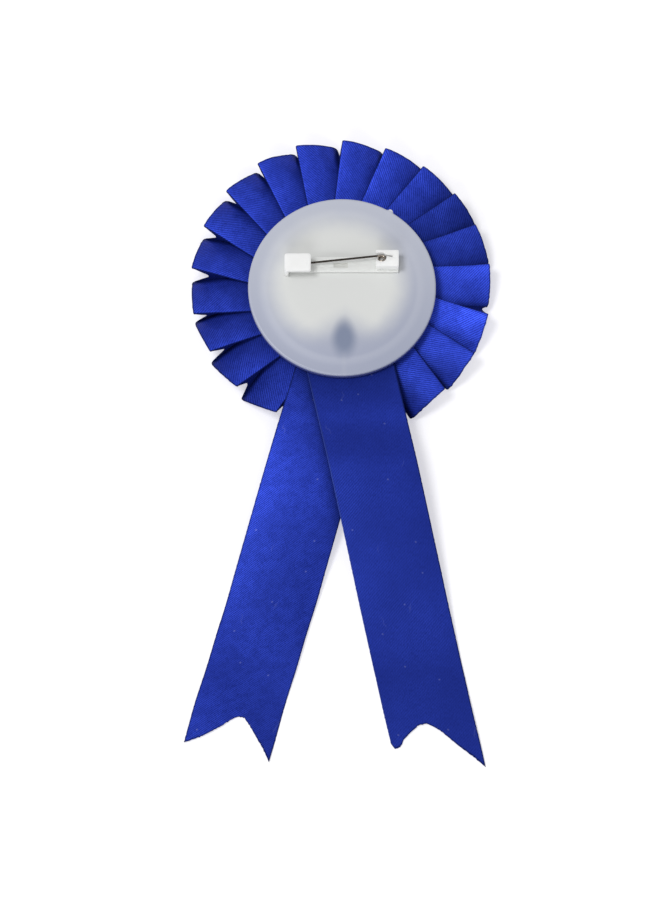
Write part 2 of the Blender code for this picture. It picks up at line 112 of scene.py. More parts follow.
class Shader:
    """A Principled material with short calls for its texture nodes."""

    def __init__(self, name, roughness=0.5, **settings):
        self.material = bpy.data.materials.new(name)
        self.material.use_nodes = True
        self.tree = self.material.node_tree
        self.principled = self.tree.nodes["Principled BSDF"]
        self.principled.inputs["Roughness"].default_value = roughness
        for key, value in settings.items():
            self.principled.inputs[key.replace("_", " ").title()].default_value = value

    def set(self, socket, value):
        self.principled.inputs[socket].default_value = value

    def node(self, kind, **settings):
        made = self.tree.nodes.new(kind)
        for key, value in settings.items():
            setattr(made, key, value)
        return made

    def link(self, source, target):
        """Feed a socket from another one, or set it to a number or a colour."""
        if isinstance(source, (int, float, tuple)):
            target.default_value = source
        else:
            self.tree.links.new(source, target)

    def math(self, operation, first, second=0.0, third=0.0, clamp=False):
        made = self.node("ShaderNodeMath", operation=operation, use_clamp=clamp)
        for value, socket in zip((first, second, third), made.inputs):
            self.link(value, socket)
        return made.outputs[0]

    def mix(self, share, first, second):
        made = self.node("ShaderNodeMix", data_type="RGBA")
        self.link(share, made.inputs["Factor"])
        self.link(first, made.inputs["A"])
        self.link(second, made.inputs["B"])
        return made.outputs["Result"]

    def length(self, first, second):
        squares = (self.math("MULTIPLY", first, first), self.math("MULTIPLY", second, second))
        return self.math("SQRT", self.math("ADD", *squares))

    def smooth(self, value, low, high, to_low=0.0, to_high=1.0):
        made = self.node("ShaderNodeMapRange", interpolation_type="SMOOTHSTEP")
        self.link(value, made.inputs["Value"])
        for key, number in (
            ("From Min", low),
            ("From Max", high),
            ("To Min", to_low),
            ("To Max", to_high),
        ):
            self.link(number, made.inputs[key])
        return made.outputs[0]

    def object_mm(self):
        """Object coordinates in millimetres, as three sockets."""
        place = self.node("ShaderNodeTexCoord").outputs["Object"]
        scaled = self.node("ShaderNodeVectorMath", operation="SCALE")
        self.link(place, scaled.inputs[0])
        scaled.inputs["Scale"].default_value = 1 / MM
        parts = self.node("ShaderNodeSeparateXYZ")
        self.link(scaled.outputs[0], parts.inputs[0])
        return parts.outputs

    def vector(self, x, y, z=0.0):
        made = self.node("ShaderNodeCombineXYZ")
        for value, socket in zip((x, y, z), made.inputs):
            self.link(value, socket)
        return made.outputs[0]

    def noise(self, vector, scale, detail=2.0, roughness=0.5):
        made = self.node("ShaderNodeTexNoise")
        self.link(vector, made.inputs["Vector"])
        made.inputs["Scale"].default_value = scale
        made.inputs["Detail"].default_value = detail
        made.inputs["Roughness"].default_value = roughness
        return made.outputs["Fac"]

    def wave(self, value, pitch):
        """0 to 1 sine stripes of a pitch in millimetres."""
        angle = self.math("MULTIPLY", value, math.tau / pitch)
        return self.math("MULTIPLY_ADD", self.math("SINE", angle), 0.5, 0.5)

    def lint(self, lie, colour, amount):
        """White specks and a few short fibres lying on cloth."""
        speck = self.node("ShaderNodeTexVoronoi", voronoi_dimensions="2D")
        self.link(lie, speck.inputs["Vector"])
        speck.inputs["Scale"].default_value = 0.06
        share = self.smooth(speck.outputs["Distance"], 0.01, 0.022, amount, 0.0)
        colour = self.mix(share, colour, (0.4, 0.45, 0.75, 1.0))
        bent = self.node("ShaderNodeVectorMath", operation="MULTIPLY_ADD")
        drift = self.node("ShaderNodeTexNoise")
        self.link(lie, drift.inputs["Vector"])
        drift.inputs["Scale"].default_value = 0.25
        self.link(drift.outputs["Color"], bent.inputs[0])
        bent.inputs[1].default_value = (6.0, 6.0, 0.0)
        self.link(lie, bent.inputs[2])
        turned_lie = self.node("ShaderNodeMapping")
        self.link(bent.outputs[0], turned_lie.inputs["Vector"])
        turned_lie.inputs["Rotation"].default_value = (0.0, 0.0, 0.7)
        turned_lie.inputs["Scale"].default_value = (0.018, 0.16, 1.0)
        fibre = self.node("ShaderNodeTexVoronoi", voronoi_dimensions="2D")
        self.link(turned_lie.outputs[0], fibre.inputs["Vector"])
        fibre.inputs["Scale"].default_value = 1.0
        share = self.smooth(fibre.outputs["Distance"], 0.02, 0.04, amount * 0.4, 0.0)
        return self.mix(share, colour, (0.3, 0.36, 0.7, 1.0))

    def colour(self, source):
        self.link(source, self.principled.inputs["Base Color"])

    def rough(self, source):
        self.link(source, self.principled.inputs["Roughness"])

    def bump(self, height, distance, strength=1.0):
        made = self.node("ShaderNodeBump")
        made.inputs["Strength"].default_value = strength
        made.inputs["Distance"].default_value = distance
        self.link(height, made.inputs["Height"])
        self.link(made.outputs[0], self.principled.inputs["Normal"])


RIB_PITCH = 0.59
THREAD_PITCH = 0.21
SATIN_DEEP = (0.0035, 0.0085, 0.115, 1.0)
SATIN_BRIGHT = (0.026, 0.053, 0.47, 1.0)
SATIN_CLOUD = (0.011, 0.022, 0.21, 1.0)
SATIN_CUT = (0.004, 0.008, 0.06, 1.0)
SATIN_PALE_EDGE = (0.06, 0.1, 0.5, 1.0)


def satin_material(name, rib_depth, grain_depth, lint=0.0, pale_edge=0.0):
    """Woven satin: slanted twill ribs over fine threads, dark cut edges and a little lint.

    The ribbon map gives the place along and across the ribbon in millimetres.  The light
    attribute is painted light and shade, which the colour is multiplied by.
    """
    made = Shader(name, roughness=0.45, metallic=0.25)
    made.set("Sheen Weight", 0.06)
    made.set("Sheen Roughness", 0.35)
    made.set("Sheen Tint", (0.1, 0.2, 1.0, 1.0))
    made.set("Specular Tint", (0.08, 0.16, 0.85, 1.0))
    lie = made.node("ShaderNodeUVMap", uv_map="ribbon").outputs[0]
    parts = made.node("ShaderNodeSeparateXYZ")
    made.link(lie, parts.inputs[0])
    along, across = parts.outputs[0], parts.outputs[1]
    slant = made.math("ADD", made.math("MULTIPLY", along, 0.72), made.math("MULTIPLY", across, 0.695))
    slant = made.math("ADD", slant, made.math("MULTIPLY", made.noise(lie, 0.9), 0.3))
    rib = made.wave(slant, RIB_PITCH)
    thread = made.wave(across, THREAD_PITCH)
    drawn = made.vector(made.math("MULTIPLY", along, 0.7), made.math("MULTIPLY", across, 2.5))
    grain = made.smooth(made.noise(drawn, 1.6, 3.0), 0.3, 0.7)
    patch = made.smooth(made.noise(lie, 0.35, 3.0), 0.35, 0.65, 0.55, 1.0)
    shade = made.math("MULTIPLY", made.math("MULTIPLY", rib, rib_depth), patch)
    shade = made.math("ADD", shade, made.math("MULTIPLY", grain, grain_depth))
    shade = made.math("ADD", shade, 0.42 - 0.4 * rib_depth - 0.5 * grain_depth)
    shade = made.math("ADD", shade, made.math("MULTIPLY", thread, 0.08))
    colour = made.mix(made.smooth(shade, 0.08, 0.8), SATIN_DEEP, SATIN_BRIGHT)
    cloud = made.smooth(made.noise(lie, 0.07), 0.35, 0.7, 0.0, 0.4)
    colour = made.mix(cloud, colour, SATIN_CLOUD)
    outer = made.math("SUBTRACT", RIBBON_WIDTH, across)
    cut = made.smooth(made.math("MINIMUM", across, outer), 0.18, 0.5, 0.8, 0.0)
    colour = made.mix(cut, colour, SATIN_CUT)
    if pale_edge:
        strip = made.math("MULTIPLY", made.smooth(across, 0.0, 0.45, 1.0, 0.0), pale_edge)
        colour = made.mix(strip, colour, SATIN_PALE_EDGE)
    if lint:
        colour = made.lint(lie, colour, lint)
    light = made.node("ShaderNodeAttribute", attribute_name="light").outputs["Fac"]
    dimmed = made.node("ShaderNodeVectorMath", operation="SCALE")
    made.link(colour, dimmed.inputs[0])
    made.link(light, dimmed.inputs["Scale"])
    made.colour(dimmed.outputs[0])
    made.rough(made.math("MULTIPLY_ADD", rib, -0.1, 0.5))
    relief = made.math("ADD", made.math("MULTIPLY", rib, 0.7), made.math("MULTIPLY", grain, 0.3))
    made.bump(relief, 0.00005, 0.7)
    return made.material


def frosted_material():
    """Frosted shell, tinted by what lies close under it: ribbon round a white middle, a blue dab; with
    painted light towards the top and upper left and painted shade at the foot of its wall.
    """
    made = Shader("frosted_shell", roughness=0.38)
    made.set("Specular IOR Level", 0.4)
    made.set("Coat Weight", 0.08)
    made.set("Coat Roughness", 0.25)
    x, y, z = made.object_mm()
    place = made.vector(x, y, z)
    haze = made.noise(place, 0.14)
    drift = made.math("MULTIPLY_ADD", haze, 2.6, -1.3)
    radius = made.length(x, y)
    # Painted light: the white middle reaches further to the upper left.
    lean = made.math("MULTIPLY", made.math("SUBTRACT", x, y), 0.07)
    shore = made.math("ADD", made.math("ADD", radius, drift), lean)
    white_part = made.smooth(shore, 14.5, 23.5, 1.0, 0.0)
    # The tails' pointed upper ends reach up into the white middle.
    side = made.math("ABSOLUTE", made.math("SUBTRACT", x, 0.9))
    roof = made.math("MULTIPLY_ADD", side, -0.6, -7.6)
    over_tails = made.smooth(made.math("SUBTRACT", y, roof), -8.0, 3.5, 0.12, 1.0)
    white_part = made.math("MULTIPLY", white_part, over_tails)
    # Painted light: the shell is lighter towards the top and darker towards the bottom.
    painted_top_light = made.smooth(y, -27.0, 27.0)
    bluish = made.mix(painted_top_light, (0.328, 0.354, 0.455, 1.0), (0.468, 0.49, 0.57, 1.0))
    colour = made.mix(white_part, bluish, (0.645, 0.655, 0.645, 1.0))
    halo = made.math("SUBTRACT", made.smooth(radius, 21.3, 22.6), made.smooth(radius, 22.8, 25.0))
    colour = made.mix(made.math("MULTIPLY", halo, 0.12), colour, (0.66, 0.68, 0.74, 1.0))
    dab_x = made.math("SUBTRACT", x, 0.6)
    dab_y = made.math("SUBTRACT", y, -15.9)
    narrow = made.smooth(dab_y, -2.0, 7.5, 1.0, 1.2)
    far = made.length(made.math("MULTIPLY", dab_x, narrow), made.math("MULTIPLY", dab_y, 0.62))
    colour = made.mix(made.smooth(far, 1.4, 5.0, 0.9, 0.0), colour, (0.165, 0.2, 0.3, 1.0))
    flow = made.smooth(made.math("ABSOLUTE", dab_x), 0.1, 1.2, 0.06, 0.0)
    flow = made.math("MULTIPLY", flow, made.smooth(y, -19, -22))
    colour = made.mix(flow, colour, (0.6, 0.6, 0.63, 1.0))
    # Painted shade: the foot of the side wall is painted dark blue, for the ribbon lying in shadow in the
    # gap under the rim.
    painted_foot_shade = made.math("MULTIPLY", made.smooth(z, 8.9, 9.7, 0.9, 0.0), made.smooth(radius, 27.0, 27.3))
    colour = made.mix(painted_foot_shade, colour, (0.03, 0.042, 0.2, 1.0))
    nub = made.smooth(radius, 27.55, 27.7)
    colour = made.mix(nub, colour, (0.8, 0.81, 0.84, 1.0))
    made.colour(colour)
    made.rough(made.math("MULTIPLY_ADD", haze, 0.12, 0.3))
    made.bump(made.noise(place, 2.2, 3.0), 0.00002, 0.35)
    return made.material


def moulded_material(name, colour, shade, roughness=0.32):
    """Moulded plastic with a faint orange-peel surface."""
    made = Shader(name, roughness=roughness)
    x, y, z = made.object_mm()
    place = made.vector(x, y, z)
    cloud = made.noise(place, 0.25, 2.0)
    made.colour(made.mix(cloud, colour, shade))
    made.rough(made.math("MULTIPLY_ADD", cloud, 0.1, roughness - 0.05))
    made.bump(made.noise(place, 2.5, 2.0), 0.00001, 0.3)
    return made.material


def pin_bar_material(strip_top):
    """White blocks over a thinner strip that lets the shell's grey through."""
    made = Shader("pin_bar_plastic", roughness=0.3)
    made.set("Subsurface Weight", 0.7)
    made.set("Subsurface Radius", (0.003, 0.003, 0.003))
    made.set("Subsurface Scale", 1.0)
    made.set("Specular IOR Level", 0.45)
    x, y, z = made.object_mm()
    place = made.vector(x, y, z)
    cloud = made.noise(place, 0.5, 2.0)
    thick = made.smooth(z, strip_top + 0.1, strip_top + 0.9)
    thin = made.mix(cloud, (0.74, 0.76, 0.735, 1.0), (0.79, 0.805, 0.785, 1.0))
    white = made.mix(cloud, (0.82, 0.825, 0.82, 1.0), (0.87, 0.875, 0.87, 1.0))
    colour = made.mix(thick, thin, white)
    # The window's thin floor lets more of the shell's grey through.
    (x0, y0), (x1, y1) = WINDOW
    beside = made.math("ABSOLUTE", made.math("SUBTRACT", x, (x0 + x1) / 2))
    ahead = made.math("ABSOLUTE", made.math("SUBTRACT", y, (y0 + y1) / 2))
    inside_x = made.smooth(beside, (x1 - x0) / 2, (x1 - x0) / 2 + WINDOW_FADE, 1.0, 0.0)
    inside_y = made.smooth(ahead, (y1 - y0) / 2, (y1 - y0) / 2 + WINDOW_FADE, 1.0, 0.0)
    inside = made.math("MULTIPLY", inside_x, inside_y)
    made.colour(made.mix(inside, colour, (0.69, 0.7, 0.665, 1.0)))
    made.bump(made.noise(place, 2.0, 2.0), 0.00002, 0.3)
    return made.material


def steel_material():
    """Drawn steel wire: dark polish with fine lengthwise scratches."""
    made = Shader("pin_wire_steel", roughness=0.28, metallic=1.0)
    x, y, z = made.object_mm()
    drawn = made.vector(made.math("MULTIPLY", x, 0.3), made.math("MULTIPLY", y, 6.0), z)
    scratch = made.noise(drawn, 3.0, 3.0)
    colour = made.mix(scratch, (0.022, 0.018, 0.016, 1.0), (0.075, 0.062, 0.054, 1.0))
    # The coil is painted paler, for the white block that it mirrors.
    beside = made.math("ABSOLUTE", made.math("SUBTRACT", x, coil_centre().x))
    coil = made.smooth(beside, 0.9, 1.5, 1.0, 0.0)
    made.colour(made.mix(coil, colour, (0.34, 0.3, 0.26, 1.0)))
    made.rough(made.math("MULTIPLY_ADD", scratch, 0.2, 0.12))
    made.bump(scratch, 0.00001, 0.2)
    return made.material


def paper_material(name, colour, fibre):
    made = Shader(name, roughness=0.75)
    x, y, z = made.object_mm()
    place = made.vector(x, made.math("MULTIPLY", y, 1.6), z)
    pulp = made.noise(place, 1.6, 5.0, 0.6)
    made.colour(made.mix(made.smooth(pulp, 0.35, 0.7), colour, fibre))
    made.bump(pulp, 0.00003, 0.4)
    return made.material


def printed_material():
    """Blue print with a pale border ring, for the front disc."""
    made = Shader("printed_front", roughness=0.5)
    x, y, z = made.object_mm()
    radius = made.length(x, y)
    pulp = made.noise(made.vector(x, y, z), 1.8, 4.0)
    blue = made.mix(pulp, (0.012, 0.03, 0.3, 1.0), (0.018, 0.042, 0.36, 1.0))
    white = made.mix(pulp, (0.78, 0.78, 0.76, 1.0), (0.84, 0.84, 0.82, 1.0))
    inside = made.smooth(radius, 19.4, 19.6)
    outside = made.smooth(radius, 21.0, 21.2)
    made.colour(made.mix(made.math("SUBTRACT", inside, outside), blue, white))
    made.bump(pulp, 0.00002, 0.3)
    return made.material


def foil_material():
    made = Shader("gold_foil", roughness=0.3, metallic=1.0)
    x, y, z = made.object_mm()
    brushed = made.noise(made.vector(made.math("MULTIPLY", x, 8.0), y, z), 1.5, 3.0)
    made.colour(made.mix(brushed, (0.66, 0.45, 0.14, 1.0), (0.86, 0.63, 0.25, 1.0)))
    made.rough(made.math("MULTIPLY_ADD", brushed, 0.2, 0.2))
    made.bump(brushed, 0.00001, 0.3)
    return made.material


def clear_material():
    """Thin clear cover: almost all of it is seen through."""
    made = Shader("clear_cover_film", roughness=0.08)
    x, y, z = made.object_mm()
    smear = made.noise(made.vector(x, y, z), 0.2, 3.0)
    made.colour(made.mix(smear, (0.9, 0.92, 0.95, 1.0), (0.97, 0.98, 1.0, 1.0)))
    made.set("Alpha", 0.12)
    made.rough(made.math("MULTIPLY_ADD", smear, 0.1, 0.05))
    made.bump(smear, 0.00002, 0.2)
    return made.material


def floor_material():
    made = Shader("white_table", roughness=0.9)
    made.set("Specular IOR Level", 0.0)
    x, y, z = made.object_mm()
    cloud = made.noise(made.vector(x, y, z), 0.01, 2.0)
    made.colour(made.mix(cloud, (0.57, 0.57, 0.58, 1.0), (0.59, 0.59, 0.6, 1.0)))
    made.set("Emission Color", (0.98, 0.97, 1.0, 1.0))
    made.set("Emission Strength", 0.5)
    return made.material


# ---------------------------------------------------------------- mesh helpers


def object_from(name, bm, finish, smooth_angle=None):
    """A mesh in millimetres as a named object with one material."""
    bmesh.ops.scale(bm, vec=(MM, MM, MM), verts=bm.verts)
    mesh = bpy.data.meshes.new(name)
    bm.to_mesh(mesh)
    bm.free()
    if smooth_angle is not None:
        mesh.shade_smooth()
        mesh.set_sharp_from_angle(angle=math.radians(smooth_angle))
    made = bpy.data.objects.new(name, mesh)
    bpy.context.scene.collection.objects.link(made)
    mesh.materials.append(finish)
    return made


def apply_modifiers(made):
    graph = bpy.context.evaluated_depsgraph_get()
    result = bpy.data.meshes.new_from_object(made.evaluated_get(graph))
    made.modifiers.clear()
    made.data = result


def ease(low, high, value):
    t = min(max((value - low) / (high - low), 0.0), 1.0)
    return t * t * (3 - 2 * t)


def cloth_sheet(name, points, places, lights, finish, wrap=False):
    """Cloth from a grid of points, with its place on the ribbon as a map, and given its thickness."""
    bm = bmesh.new()
    layer = bm.loops.layers.uv.new("ribbon")
    verts = [[bm.verts.new(point) for point in row] for row in points]
    columns = len(points[0])
    for r in range(len(points) - 1):
        for c in range(columns if wrap else columns - 1):
            n = (c + 1) % columns
            corners = ((r, c), (r, n), (r + 1, n), (r + 1, c))
            face = bm.faces.new([verts[i][j] for i, j in corners])
            for loop, (i, j) in zip(face.loops, ((r, c), (r, c + 1), (r + 1, c + 1), (r + 1, c))):
                loop[layer].uv = places[i][j]
    made = object_from(name, bm, finish)
    made.data.shade_smooth()
    share = made.data.attributes.new("light", "FLOAT", "POINT")
    share.data.foreach_set("value", [value for row in lights for value in row])
    thick = made.modifiers.new("thickness", "SOLIDIFY")
    thick.thickness = RIBBON_THICKNESS * MM
    thick.offset = 0
    thick.use_even_offset = False
    apply_modifiers(made)
    made.data.set_sharp_from_angle(angle=math.radians(60))
    return made


def turned(profile, steps):
    """Solid of revolution about Z from a closed or axis-to-axis outline of (radius, z) points."""
    bm = bmesh.new()
    verts = [bm.verts.new((radius, 0, z)) for radius, z in profile]
    pairs = list(zip(verts, verts[1:]))
    if profile[0][0] != 0:
        pairs.append((verts[-1], verts[0]))
    edges = [bm.edges.new(pair) for pair in pairs]
    bmesh.ops.spin(
        bm, geom=verts + edges, axis=(0, 0, 1), cent=(0, 0, 0), angle=math.tau, steps=steps
    )
    bmesh.ops.remove_doubles(bm, verts=bm.verts, dist=1e-4)
    bmesh.ops.recalc_face_normals(bm, faces=bm.faces)
    return bm


def rounded(points, steps=5):
    """An outline whose corners (x, z, radius) are turned into arcs."""
    path = []
    for i, (x, z, radius) in enumerate(points):
        here = Vector((x, z))
        if radius == 0:
            path.append((x, z))
            continue
        before = Vector(points[i - 1][:2])
        after = Vector(points[(i + 1) % len(points)][:2])
        inward, outward = (before - here).normalized(), (after - here).normalized()
        half_angle = inward.angle(outward) / 2
        reach = radius / math.tan(half_angle)
        start, end = here + inward * reach, here + outward * reach
        for step in range(steps + 1):
            t = step / steps
            point = start.lerp(here, t).lerp(here.lerp(end, t), t)
            path.append((point.x, point.y))
    return path


def block(low, high, corner, steps=6):
    """Upright block with rounded vertical edges."""
    x0, y0, z0 = low
    x1, y1, z1 = high
    outline = rounded([(x0, y0, corner), (x1, y0, corner), (x1, y1, corner), (x0, y1, corner)], steps)
    return prism(outline, z0, z1)


def prism(outline, low, high):
    bm = bmesh.new()
    base = bm.faces.new([bm.verts.new((x, y, low)) for x, y in outline])
    raised = bmesh.ops.extrude_face_region(bm, geom=[base])
    top = [item for item in raised["geom"] if isinstance(item, bmesh.types.BMVert)]
    bmesh.ops.translate(bm, vec=(0, 0, high - low), verts=top)
    bmesh.ops.recalc_face_normals(bm, faces=bm.faces)
    return bm


def combine(made, bm, operation):
    """Boolean of an object with a solid in millimetres, applied in place."""
    tool = object_from("tool", bm, made.data.materials[0])
    change = made.modifiers.new("change", "BOOLEAN")
    change.operation = operation
    change.solver = "EXACT"
    change.object = tool
    apply_modifiers(made)
    bpy.data.objects.remove(tool, do_unlink=True)


def soften(made, width, angle=35, segments=3):
    """Rounded edges on a moulded piece."""
    bevel = made.modifiers.new("soft_edges", "BEVEL")
    bevel.width = width * MM
    bevel.segments = segments
    bevel.limit_method = "ANGLE"
    bevel.angle_limit = math.radians(angle)
    bevel.harden_normals = True
    made.data.shade_smooth()
    apply_modifiers(made)


def wire(name, points, radii, finish, sides=20):
    """Round wire along points with a radius at each, its ends closed by small domes."""
    bm = bmesh.new()
    rings = []
    across = None
    count = len(points)
    for i, point in enumerate(points):
        ahead = (points[min(i + 1, count - 1)] - points[max(i - 1, 0)]).normalized()
        if across is None:
            across = ahead.orthogonal().normalized()
        across = (across - ahead * across.dot(ahead)).normalized()
        up = ahead.cross(across)
        ring = []
        for side in range(sides):
            angle = math.tau * side / sides
            spoke = across * math.cos(angle) + up * math.sin(angle)
            ring.append(bm.verts.new(point + spoke * radii[i]))
        rings.append(ring)
    for first, second in zip(rings, rings[1:]):
        for side in range(sides):
            n = (side + 1) % sides
            bm.faces.new((first[side], first[n], second[n], second[side]))
    for ring, place, ahead, radius in (
        (rings[0], points[0], (points[0] - points[1]).normalized(), radii[0]),
        (rings[-1], points[-1], (points[-1] - points[-2]).normalized(), radii[-1]),
    ):
        tip = bm.verts.new(place + ahead * radius * 0.5)
        for side in range(sides):
            bm.faces.new((ring[side], ring[(side + 1) % sides], tip))
    bmesh.ops.recalc_face_normals(bm, faces=bm.faces)
    return object_from(name, bm, finish, 50)


# ---------------------------------------------------------------- pleated ring


def flatness(clockwise):
    """1 where the pleats lie pressed flat, at the upper right, and 0 elsewhere."""
    return math.exp(-(((clockwise - 66) / 24) ** 2))


def pleat_gain(turn):
    """Painted brightness of the satin at a turn: low at the upper right, high beside it."""
    sheen = 0.7 * math.exp(-(((turn - 103) / 15) ** 2)) - 0.85 * math.exp(-(((turn - 58) / 20) ** 2))
    return 1.42 + 0.32 * math.cos(math.radians(turn)) + sheen


class Pleat:
    """One knife pleat: its raised fold is the counter-clockwise edge and its tuck the clockwise one."""

    def __init__(self, number, chance):
        fold = FOLD_TURNS[number]
        self.face = WIDE_FACE if number == WIDE_PLEAT else PLEAT_FACE + chance.uniform(-0.15, 0.15)
        turn = fold + math.degrees(self.face / 2 / RIM_RADIUS)
        middle = math.radians(turn)
        self.flat = flatness((fold + 180) % 360 - 180)
        near_tails = math.exp(-(((turn - 180) / 34) ** 4))
        self.leftward = 0.5 - 0.5 * math.sin(middle)
        self.reach = 0.45 - 0.3 * math.sin(middle) + 0.5 * math.cos(2 * middle) + chance.uniform(-0.2, 0.2)
        self.skew = math.radians(chance.uniform(-1.2, 1.8))
        self.slant = chance.uniform(-0.6, 0.5)
        self.round = chance.uniform(1.3, 1.7) - 0.3 * self.flat
        self.crown = chance.uniform(0.05, 0.3)
        self.lift = chance.uniform(-0.1, 0.7) * (1 - near_tails)
        self.drop = chance.uniform(-0.5, 0.2)
        tightness = 0.9 + 0.25 * self.leftward - 0.65 * self.flat
        self.pull = RETURN_PULL * tightness * chance.uniform(0.85, 1.1)
        self.bulge = chance.uniform(0.2, 0.55)
        self.rag = chance.uniform(0.03, 0.1) + 0.12 * math.exp(-(((turn - 140) / 30) ** 2))
        self.seed = chance.uniform(0, 50)
        self.gain = pleat_gain(turn)
        self.outward = Vector((math.sin(middle), math.cos(middle), 0))
        self.across = Vector((-math.cos(middle), math.sin(middle), 0))

    def spread(self, distance):
        """0 where the ring is clamped, 1 at the rim."""
        t = min(max((distance - CLAMP_RADIUS) / (PLEAT_INNER + RIBBON_WIDTH - CLAMP_RADIUS), 0), 1)
        return t ** (1 + 0.9 * self.flat)

    def fold_z(self, distance):
        rise = FOLD_RIM_Z + self.lift - 0.4 * self.flat - FOLD_INNER_Z
        return FOLD_INNER_Z + rise * self.spread(distance)

    def tuck_z(self, distance):
        drop = TUCK_RIM_Z + self.drop + 1.6 * self.flat - TUCK_INNER_Z
        return TUCK_INNER_Z + drop * self.spread(distance)

    def distance(self, share, pull, side):
        """Distance out along the pleat; the rim's cut line slants a little and is slightly ragged."""
        width = RIBBON_WIDTH + self.reach + self.slant * side / self.face - pull
        if share == 1:
            width += self.rag * noise.noise(Vector((side * 1.7, self.seed, 0))) * 1.5
        return PLEAT_INNER + share * width

    def point(self, side, distance, z):
        lean = side + math.tan(self.skew) * (distance - CLAMP_RADIUS)
        place = self.outward * distance + self.across * lean
        return Vector((place.x, place.y + RING_SHIFT_Y, z))


FACE_STEPS = 18
FOLD_STEPS = 5
RETURN_STEPS = 12


def pleat_section(pleat, following, share):
    """Points across one pleat from its raised fold, over its face, round the tuck and back up."""
    half = pleat.face / 2
    rho = FOLD_RADIUS
    upright = 1 - ease(0.35, 0.9, share)
    path = []

    def face_z(side, distance):
        level = (side + half) / pleat.face
        low, high = pleat.tuck_z(distance), pleat.fold_z(distance)
        crown = pleat.crown * 4 * level * (1 - level) * pleat.spread(distance)
        return low + (high - low) * (1 - (1 - level) ** pleat.round) + crown

    for step in range(FACE_STEPS + 1):
        side = half - rho - (pleat.face - 2 * rho) * step / FACE_STEPS
        level = (side + half) / pleat.face
        near_tuck = max(0, 1 - (side + half - rho) / 0.9)
        pull = 0.25 * near_tuck**2 - pleat.bulge * 4 * level * (1 - level) * share**4
        distance = pleat.distance(share, pull, side)
        path.append(pleat.point(side, distance, face_z(side, distance)))
    for step in range(1, FOLD_STEPS):
        angle = math.pi * step / FOLD_STEPS
        pull = 0.25 + pleat.pull * 0.25 * step / FOLD_STEPS
        distance = pleat.distance(share, pull, -half)
        inset = rho - rho * math.sin(angle)
        if step > FOLD_STEPS / 2:
            inset *= upright
        z = pleat.tuck_z(distance) + rho * (1 - math.cos(angle))
        path.append(pleat.point(inset - half, distance, z))
    other_half = following.face / 2
    for step in range(RETURN_STEPS + 1):
        t = step / RETURN_STEPS
        pull = 0.25 + 0.75 * math.sin(math.pi / 2 * min(1, t / 0.4))
        pull *= math.sin(math.pi / 2 * min(1, (1 - t) / 0.45 + 0.12))
        pull = 0.2 + pull * pleat.pull
        start_out = pleat.distance(share, pull, -half)
        end_out = following.distance(share, pull, other_half)
        start = pleat.point(rho * upright - half, start_out, pleat.tuck_z(start_out) + 2 * rho)
        end = following.point(other_half - rho * upright, end_out, following.fold_z(end_out) - 2 * rho)
        path.append(start.lerp(end, t))
    for step in range(1, FOLD_STEPS):
        angle = math.pi * step / FOLD_STEPS
        distance = following.distance(share, 0.35 * (1 - step / FOLD_STEPS), other_half)
        inset = rho - rho * math.sin(angle)
        if step < FOLD_STEPS / 2:
            inset *= upright
        z = following.fold_z(distance) - rho * (1 + math.cos(angle))
        path.append(following.point(other_half - inset, distance, z))
    return path


def fold_light(pleat, share, column):
    """Painted light: bright on the ridge, dark in the tuck and beside the shell on the left."""
    # Painted shade: the return layer under the faces is kept dark.
    if column > FACE_STEPS + 1:
        return 0.3
    face = column / FACE_STEPS
    ridge = 0.16 * (1 - ease(0.0, 0.4, face))
    slope = 0.22 * ease(0.3, 0.85, face)
    tuck = ease(0.86, 0.97, face) * (0.35 + 0.4 * share) * (1 - 0.6 * pleat.flat)
    inner = 0.3 * pleat.leftward**2 * (1 - ease(0.36, 0.7, share))
    return pleat.gain * (1 + ridge) * (1 - slope) * (1 - tuck) * (1 - inner)


def pleated_ring(satin):
    """The whole ring as one ribbon joined end to end."""
    chance = random.Random(21)
    pleats = [Pleat(number, chance) for number in range(PLEAT_COUNT)]
    rows = 30
    points, lights = [], []
    for r in range(rows + 1):
        share = r / rows
        row, light = [], []
        for number, pleat in enumerate(pleats):
            section = pleat_section(pleat, pleats[(number + 1) % PLEAT_COUNT], share)
            row.extend(section)
            light.extend(fold_light(pleat, share, column) for column in range(len(section)))
        lights.append(light)
        wrinkled = []
        for point in row:
            wave = noise.noise(point * 0.16) * 0.28 + noise.noise(point * 0.5) * 0.07
            wrinkled.append(point + Vector((0, 0, wave * ease(0.25, 0.8, share))))
        points.append(wrinkled)
    middle = points[rows // 2]
    along = [0.0]
    for first, second in zip(middle, middle[1:] + middle[:1]):
        along.append(along[-1] + (second - first).length)
    places = []
    for r in range(rows + 1):
        places.append([(distance, RIBBON_WIDTH * r / rows) for distance in along])
    made = cloth_sheet("pleated_satin_ring", points, places, lights, satin, wrap=True)
    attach(made, "rosette")
    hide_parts("pleated_ribbon")
    return made


# ---------------------------------------------------------------- tails

